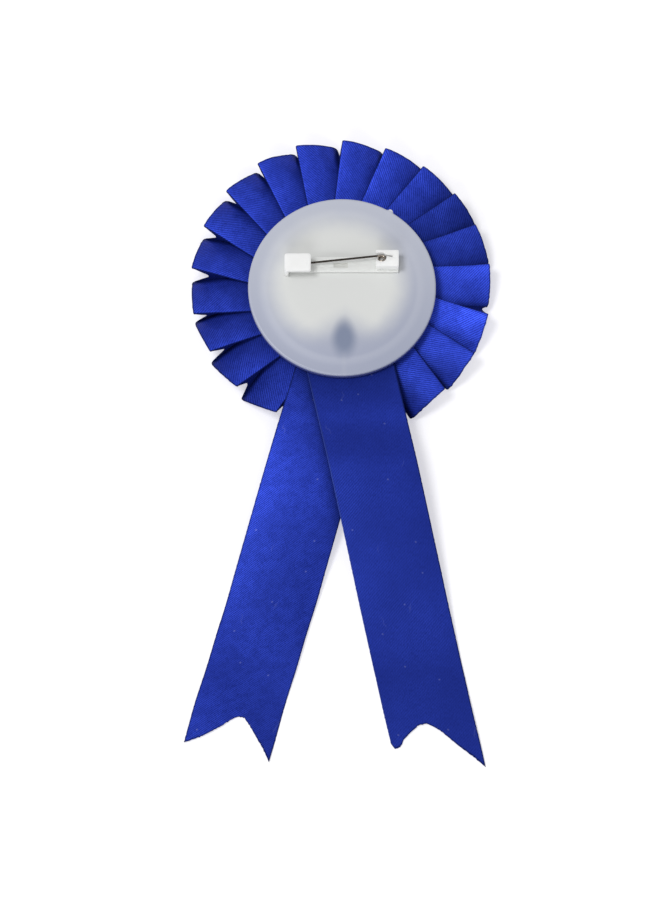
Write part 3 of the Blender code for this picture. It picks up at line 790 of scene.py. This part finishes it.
LEFT_TAIL = {
    "name": "left_tail_ribbon",
    "nodes": ("tail_left", "tail_left_root"),
    "top_x": 0.9,
    "end_x": -33.8,
    "end_y": -140.6,
    "level": 6.65,
    "apex": 0.57,
    "ends": (
        (0.0, -137.3),
        (0.05, -136.9),
        (0.19, -135.3),
        (0.35, -132.6),
        (0.47, -130.0),
        (0.52, -129.4),
        (0.59, -129.7),
        (0.69, -132.7),
        (0.78, -135.7),
        (0.89, -139.3),
        (1.0, -143.4),
    ),
    "seed": 5,
}
RIGHT_TAIL = {
    "name": "right_tail_ribbon",
    "nodes": ("tail_right", "tail_right_root"),
    "top_x": 1.4,
    "end_x": 28.1,
    "end_y": -142.0,
    "level": 7.3,
    "apex": 0.4,
    "ends": (
        (0.0, -137.6),
        (0.03, -139.3),
        (0.1, -138.7),
        (0.15, -136.6),
        (0.24, -134.5),
        (0.36, -132.1),
        (0.45, -131.6),
        (0.51, -132.4),
        (0.59, -133.9),
        (0.74, -138.2),
        (0.89, -141.8),
        (1.0, -144.9),
    ),
    "seed": 9,
}
TAIL_TOP_Y = -19.0
TAIL_POINT_Y = -7.6
TAIL_SHOULDER_Y = -16.6
TAIL_REST_Z = 0.25
BEND_Y = -29.4
LIFT_END_Y = -39.0
RIM_Y = -44.0
STRAIGHT_END_Y = -124.0
# How the tails lie: a climb to the rim, an arch past it, then down onto the table
RIM_CLIMB = 0.95
TABLE_START_Y = -84
TABLE_END_Y = -104
ARCH_RISE_Y = (-40, -56)
ARCH_FALL_Y = (-86, -116)
LEFT_ARCH = 0.9
LEFT_EDGE_DROOP = 1.5
LAPPED_EDGE_DROOP = 0.7
RIGHT_ARCH = 2.2
RIGHT_EDGE_DROOP = 0.5


def tail_middle(tail, y):
    t = (TAIL_TOP_Y - y) / (TAIL_TOP_Y - tail["end_y"])
    return tail["top_x"] + (tail["end_x"] - tail["top_x"]) * t


def tail_half_width(tail):
    slope = (tail["end_x"] - tail["top_x"]) / (TAIL_TOP_Y - tail["end_y"])
    return RIBBON_WIDTH / 2 * math.sqrt(1 + slope * slope)


def tail_height(tail, y, share):
    """Over the pleats' rim and slowly down onto the table; the right tail stays on the left one."""
    level = tail["level"] + RIM_CLIMB * ease(-BEND_Y, -LIFT_END_Y, -y)
    lap = tail["level"] - LEFT_TAIL["level"]
    floor = TAIL_REST_Z + lap * (1 - ease(-TABLE_START_Y, -TABLE_END_Y, -y))
    z = level + (floor - level) * ease(-RIM_Y, -TABLE_END_Y, -y)
    risen = ease(-ARCH_RISE_Y[0], -ARCH_RISE_Y[1], -y)
    raised = risen * (1 - ease(-ARCH_FALL_Y[0], -ARCH_FALL_Y[1], -y))
    if tail is LEFT_TAIL:
        droop = LEFT_EDGE_DROOP * max(0, 1 - share / 0.55) ** 2
        droop += LAPPED_EDGE_DROOP * max(0, share - 0.6) ** 2 / 0.16
        return z + raised * (LEFT_ARCH - droop)
    return z + RIGHT_ARCH * raised - RIGHT_EDGE_DROOP * raised * (2 * share - 1) ** 2


def between(points, share):
    for (x0, y0), (x1, y1) in zip(points, points[1:]):
        if share <= x1:
            return y0 + (y1 - y0) * (share - x0) / (x1 - x0)
    return points[-1][1]


def cut_line(tail, share):
    """The forked end, cut by hand: small nicks along it and a rounded inner corner."""
    nick = noise.noise(Vector((share * 60, tail["seed"], 3))) * 0.3
    return between(tail["ends"], share) + nick


def tail_light(tail, x, y):
    """Painted light on a tail: less beside the shell and in the lap of the two tails."""
    inner = 0.4 * (1 - ease(27, 38, math.hypot(x, y)))
    if tail is RIGHT_TAIL:
        return (1 - inner) * (0.92 - 0.16 * ease(38, 70, -y))
    lap_edge = tail_middle(RIGHT_TAIL, y) - tail_half_width(RIGHT_TAIL)
    near = 0.6 * math.exp(-max(0, lap_edge - x) / 2.6) * (1 - ease(70, 92, -y))
    left_edge = tail_middle(tail, y) - tail_half_width(tail)
    glow = 0.3 * math.exp(-(x - left_edge) / 6.0) * ease(36, 44, -y)
    return (1 - inner) * (1 - near) * (1 + glow) * (1.33 - 0.36 * ease(50, 85, -y))


def tail_ribbon(tail, satin):
    """One tail from its pointed end under the shell to its forked end."""
    columns = 64
    shares = [c / columns for c in range(columns + 1)]
    point_line = ((0.0, TAIL_SHOULDER_Y), (tail["apex"], TAIL_POINT_Y), (1.0, TAIL_SHOULDER_Y))
    outlines = (
        ([between(point_line, share) for share in shares], 16),
        ([BEND_Y + 4] * len(shares), 150),
        ([STRAIGHT_END_Y] * len(shares), 40),
        ([cut_line(tail, share) for share in shares], 0),
    )
    half = tail_half_width(tail)
    stretch = 1 / math.cos(math.atan2(abs(tail["end_x"]), TAIL_TOP_Y - tail["end_y"]))
    points, places, lights = [], [], []
    for (start, steps), (end, _) in zip(outlines, outlines[1:]):
        last = end is outlines[-1][0]
        for step in range(steps + (1 if last else 0)):
            row, place, light = [], [], []
            for c, share in enumerate(shares):
                y = start[c] + (end[c] - start[c]) * step / steps
                down = ease(80, 108, -y)
                x = tail_middle(tail, y) + (2 * share - 1) * half
                x += noise.noise(Vector((tail["seed"], y * 0.06, 0))) * 0.35 * down
                if c in (0, columns):
                    x += noise.noise(Vector((tail["seed"], y * 1.3, c))) * 0.1
                z = tail_height(tail, y, share)
                z += (noise.noise(Vector((x * 0.05, y * 0.035, tail["seed"]))) + 0.25) * 0.9 * down
                row.append(Vector((x, y, max(z, 0.14))))
                place.append((-y * stretch, share * RIBBON_WIDTH))
                singed = 0.4 if last and step >= steps - 1 else 1.0
                light.append(singed * tail_light(tail, x, y))
            points.append(row)
            places.append(place)
            lights.append(light)
    made = cloth_sheet(tail["name"], points, places, lights, satin)
    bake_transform(made)
    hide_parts(*tail["nodes"])
    return made


# ---------------------------------------------------------------- back shell and pin


def back_dish(frosted):
    """Frosted dish: rounded rim, low step near its edge and a small gate nub on its side."""
    low, high = box_mm("back_shell")
    radius, top, bottom = 27.45, high.z, low.z
    wall, inner = 0.9, 26.55
    profile = rounded(
        [
            (23.1, top, 0.0),
            (23.7, top - 0.14, 0.0),
            (radius, top - 0.14, 0.7),
            (radius + 0.05, bottom, 0.15),
            (inner, bottom, 0.1),
            (inner, top - wall - 0.14, 0.5),
        ]
    )
    profile = [(0.0, top), (12.0, top)] + profile + [(0.0, top - wall - 0.14)]
    bm = turned(profile, 480)
    nub = math.radians(90 - 31)
    for vert in bm.verts:
        out = math.hypot(vert.co.x, vert.co.y)
        if out < 27.0:
            continue
        away = (math.atan2(vert.co.y, vert.co.x) - nub) * radius
        height = vert.co.z - (bottom + 1.2)
        push = 0.75 * math.exp(-((away / 0.75) ** 4)) * math.exp(-((height / 1.3) ** 4))
        vert.co.xy *= (out + push) / out
    made = object_from("frosted_back_dish", bm, frosted, 40)
    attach(made, "rosette")
    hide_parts("back_shell")


COIL_RADIUS = 0.85
COIL_PITCH = 0.8
COIL_TILT = math.radians(15)
WIRE_RADIUS = 0.31
NEEDLE_TIP = Vector((-13.4, 6.0, 12.86))


def coil_centre():
    joint = next(j for j in frame["joints"] if j["name"] == "needle_pivot")
    return Vector(joint["pos_m"]) / MM


def coil_point(turn_angle):
    """Point of the coil at turn_angle degrees counter-clockwise from +X round its tilted axis."""
    down = Vector((0, -math.sin(COIL_TILT), -math.cos(COIL_TILT)))
    ahead = Vector((0, math.cos(COIL_TILT), -math.sin(COIL_TILT)))
    angle = math.radians(turn_angle)
    return (
        coil_centre()
        + Vector((1, 0, 0)) * COIL_RADIUS * math.cos(angle)
        + ahead * COIL_RADIUS * math.sin(angle)
        + down * COIL_PITCH * (90 - turn_angle) / 360
    )


def pin_wires(steel):
    start = coil_point(96)
    points, radii = [], []
    steps = 40
    for step in range(steps):
        t = step / steps
        points.append(NEEDLE_TIP.lerp(start, t))
        radii.append(WIRE_RADIUS * min(1.0, 0.06 + 0.94 * (t / 0.16) ** 0.7))
    for turn_angle in range(96, -176, -6):
        points.append(coil_point(turn_angle))
        radii.append(WIRE_RADIUS)
    needle = wire("needle_wire", points, radii, steel)
    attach(needle, "needle")
    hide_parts("pin_needle")

    points = [coil_point(turn_angle) for turn_angle in range(-190, -266, -6)]
    last = points[-1]
    for step in range(1, 11):
        t = step / 10
        points.append(last + Vector((3.4 * t, -0.42 * t * t, -0.1 * t)))
    leg = wire("anchor_wire", points, [WIRE_RADIUS] * len(points), steel)
    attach(leg, "rosette")
    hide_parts("pin_anchor_wire")


STRIP_SINK = 0.48
STRIP_HEIGHT = 0.6
STRIP_INSET = 0.1
STRIP_Y = (4.2, 8.8)
CLASP_LENGTH = 7.7
CLASP_Y = (3.05, 8.45)
CLASP_WALL = 1.2
CLASP_ROOF = 1.3
HINGE_LENGTH = 6.7
HINGE_Y = (4.8, 9.8)
HINGE_DROP = 0.8
WELL_RADIUS = 1.42
WELL_DEPTH = 1.45
WELL_SIDES = 40
PAST = 3  # how far a cutter runs past the block it opens


def pin_moulding():
    """Bar with a clasp block at the left, a hinge block at the right and a shallow window between."""
    low, high = box_mm("pin_bar")
    left, right, bottom, top = low.x, high.x, low.z - STRIP_SINK, high.z
    strip_top = low.z + STRIP_HEIGHT
    made = object_from(
        "pin_bar_moulding",
        block((left + STRIP_INSET, STRIP_Y[0], bottom), (right - STRIP_INSET, STRIP_Y[1], strip_top), 0.4),
        pin_bar_material(strip_top),
    )
    clasp_right = left + CLASP_LENGTH
    clasp = block((left, CLASP_Y[0], bottom + 0.05), (clasp_right, CLASP_Y[1], top), 0.9)
    combine(made, clasp, "UNION")
    hinge_left, hinge_top = right - HINGE_LENGTH, top - HINGE_DROP
    hinge = block((hinge_left, HINGE_Y[0], bottom + 0.05), (right, HINGE_Y[1], hinge_top), 0.45)
    combine(made, hinge, "UNION")
    slot_low = (left + CLASP_WALL, 0.0, strip_top + 0.1)
    slot = block(slot_low, (clasp_right + PAST, 7.2, top - CLASP_ROOF), 0.4)
    combine(made, slot, "DIFFERENCE")
    centre = coil_centre()
    floor = centre.z - WELL_DEPTH
    ring = [
        (
            centre.x + WELL_RADIUS * math.cos(math.tau * step / WELL_SIDES),
            centre.y + WELL_RADIUS * math.sin(math.tau * step / WELL_SIDES),
        )
        for step in range(WELL_SIDES)
    ]
    combine(made, prism(ring, floor, top), "DIFFERENCE")
    mouth = [
        (centre.x, centre.y + WELL_RADIUS),
        (hinge_left - 1, centre.y + 1.25),
        (hinge_left - 1, centre.y - 2.4),
        (centre.x - 0.9, centre.y - 0.9),
    ]
    combine(made, prism(mouth, floor, top), "DIFFERENCE")
    leg = coil_point(-265)
    groove = [
        (centre.x + 1.0, leg.y + 0.25),
        (centre.x + 1.0, leg.y - 0.25),
        (leg.x + 3.3, leg.y - 0.62),
        (leg.x + 3.3, leg.y - 0.22),
    ]
    combine(made, prism(list(reversed(groove)), leg.z, top), "DIFFERENCE")
    (x0, y0), (x1, y1) = WINDOW
    window = block((x0, y0, strip_top - WINDOW_DEPTH), (x1, y1, strip_top + 1), 0.15)
    combine(made, window, "DIFFERENCE")
    front_low = (left + CLASP_WALL, 0.0, bottom - 1)
    front = block(front_low, (clasp_right + PAST, STRIP_Y[0], top - 1.35), 0.1)
    combine(made, front, "DIFFERENCE")
    soften(made, 0.22)
    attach(made, "rosette")
    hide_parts("pin_bar")


# ---------------------------------------------------------------- front and inner pieces


def front_dish(white):
    low, high = box_mm("front_button")
    floor_low = box_mm("artwork_disc")[1].z + 0.1
    lip = 25.1
    profile = rounded(
        [
            (lip, floor_low, 0.2),
            (lip, low.z, 0.3),
            (high.x, low.z, 0.9),
            (high.x, high.z, 0.25),
            (high.x - 1.2, high.z, 0.25),
            (high.x - 1.2, floor_low + 0.9, 0.3),
        ]
    )
    profile = [(0.0, floor_low)] + profile + [(0.0, floor_low + 0.9)]
    made = object_from("front_button_dish", turned(profile, 192), white, 40)
    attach(made, "rosette")
    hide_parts("front_button")


def foil_star(gold):
    """Thin five-pointed star between the printed disc and its clear cover."""
    low = box_mm("clear_cover")[1].z + 0.04
    high = box_mm("artwork_disc")[0].z - 0.02
    outline = []
    for corner in range(10):
        radius = 15.5 if corner % 2 == 0 else 6.1
        angle = math.radians(-90 + 36 * corner)
        outline.append((radius * math.cos(angle), radius * math.sin(angle)))
    bm = prism(outline, low, high)
    centre = bmesh.ops.poke(bm, faces=[f for f in bm.faces if f.normal.z < -0.9])["verts"]
    for vert in centre:
        vert.co.z -= 0.02
    made = object_from("foil_star", bm, gold, 20)
    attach(made, "rosette")


def glue_dab():
    """Smooth teardrop of glue on the tails' upper ends, in place of the CAD's plain one."""
    low, high = box_mm("tail_glue_dab")
    made = Shader("clear_glue", roughness=0.3)
    x, y, z = made.object_mm()
    cloud = made.noise(made.vector(x, y, z), 0.6, 2.0)
    made.colour(made.mix(cloud, (0.2, 0.25, 0.42, 1.0), (0.34, 0.39, 0.55, 1.0)))
    made.bump(cloud, 0.0001, 0.4)
    bm = bmesh.new()
    centre = (low + high) / 2
    steps, levels = 48, 10
    rings = []
    for level in range(1, levels):
        t = math.pi * level / levels
        scale = math.sin(t) ** 0.5
        ring = []
        for step in range(steps):
            angle = math.tau * step / steps
            reach = 5.4 + 1.4 * max(math.sin(angle), 0) ** 6
            ring.append(
                bm.verts.new(
                    (
                        centre.x + 3.3 * scale * math.cos(angle),
                        centre.y - 0.8 + reach * scale * math.sin(angle),
                        centre.z - (high.z - low.z) / 2 * math.cos(t),
                    )
                )
            )
        rings.append(ring)
    for first, second in zip(rings, rings[1:]):
        for step in range(steps):
            n = (step + 1) % steps
            bm.faces.new((first[step], first[n], second[n], second[step]))
    bm.faces.new(list(reversed(rings[0])))
    bm.faces.new(rings[-1])
    bmesh.ops.recalc_face_normals(bm, faces=bm.faces)
    piece = object_from("tail_glue", bm, made.material, 60)
    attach(piece, "rosette")
    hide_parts("tail_glue_dab")


def repaint(node, finish):
    """A better material for a CAD node whose shape is right."""
    for holder in frame["nodes"][node].material_slots:
        holder.material = finish


def thread_material():
    made = Shader("sewing_thread", roughness=0.7)
    x, y, z = made.object_mm()
    turn = made.math("ARCTAN2", y, x)
    lay = made.math("ADD", made.math("MULTIPLY", turn, 220.0), made.math("MULTIPLY", z, 9.0))
    twist = made.math("SINE", lay)
    strand = made.math("MULTIPLY_ADD", twist, 0.5, 0.5)
    made.colour(made.mix(strand, (0.006, 0.014, 0.14, 1.0), (0.02, 0.04, 0.34, 1.0)))
    made.bump(twist, 0.0001, 0.5)
    return made.material


# ---------------------------------------------------------------- stage


FLOOR_REACH = 1.6
FLOOR_CELLS = 16
FLOOR_GAP = 0.00002
WORLD_STRENGTH = 0.5


def stage():
    bm = bmesh.new()
    bmesh.ops.create_grid(bm, x_segments=FLOOR_CELLS, y_segments=FLOOR_CELLS, size=FLOOR_REACH / MM)
    floor = object_from("table", bm, floor_material())
    floor.location.z = -FLOOR_GAP

    world = bpy.data.worlds.new("studio")
    bpy.context.scene.world = world
    world.use_nodes = True
    background = world.node_tree.nodes["Background"]
    background.inputs["Color"].default_value = (1.0, 1.0, 1.0, 1.0)
    background.inputs["Strength"].default_value = WORLD_STRENGTH

    add_light("key", (-1.0, -0.05, 2.5), 0.9, 32.0)
    add_light("fill", (-0.4, -2.2, 1.5), 1.4, 22.0)
    bpy.context.scene.view_settings.view_transform = "Standard"
    bpy.context.scene.view_settings.look = "None"


def add_light(name, place, size, power):
    data = bpy.data.lights.new(name, "AREA")
    data.shape = "DISK"
    data.size = size
    data.energy = power
    lamp = bpy.data.objects.new(name, data)
    lamp.location = place
    aim = CAMERA_AIM * MM - Vector(place)
    lamp.rotation_mode = "QUATERNION"
    lamp.rotation_quaternion = aim.to_track_quat("-Z", "Y")
    bpy.context.scene.collection.objects.link(lamp)


def camera():
    data = bpy.data.cameras.new("camera")
    data.sensor_width = SENSOR
    data.lens = SENSOR * CAMERA_DISTANCE / VIEW_HEIGHT
    data.clip_start = 0.01
    data.clip_end = 40
    made = bpy.data.objects.new("camera", data)
    tilt = math.radians(CAMERA_ELEVATION)
    back = Vector((0, -math.cos(tilt), math.sin(tilt)))
    made.location = (CAMERA_AIM + back * CAMERA_DISTANCE) * MM
    made.rotation_mode = "QUATERNION"
    made.rotation_quaternion = (-back).to_track_quat("-Z", "Y")
    bpy.context.scene.collection.objects.link(made)
    bpy.context.scene.camera = made


camera()
stage()
pleated_ring(satin_material("ring_satin", 0.42, 0.2))
tail_ribbon(LEFT_TAIL, satin_material("left_tail_satin", 0.46, 0.2, lint=0.14))
tail_ribbon(RIGHT_TAIL, satin_material("right_tail_satin", 0.12, 0.14, lint=0.14, pale_edge=0.6))
back_dish(frosted_material())
pin_moulding()
pin_wires(steel_material())
front_dish(moulded_material("white_front", (0.8, 0.8, 0.79, 1.0), (0.86, 0.86, 0.85, 1.0)))
foil_star(foil_material())
glue_dab()
repaint("card_disc", paper_material("white_card_pulp", (0.8, 0.8, 0.77, 1.0), (0.86, 0.86, 0.84, 1.0)))
repaint("artwork_disc", printed_material())
repaint("clear_cover", clear_material())
repaint("gathering_thread", thread_material())
repaint("pin_adhesive", moulded_material("adhesive", (0.74, 0.76, 0.78, 1.0), (0.8, 0.81, 0.82, 1.0), 0.2))
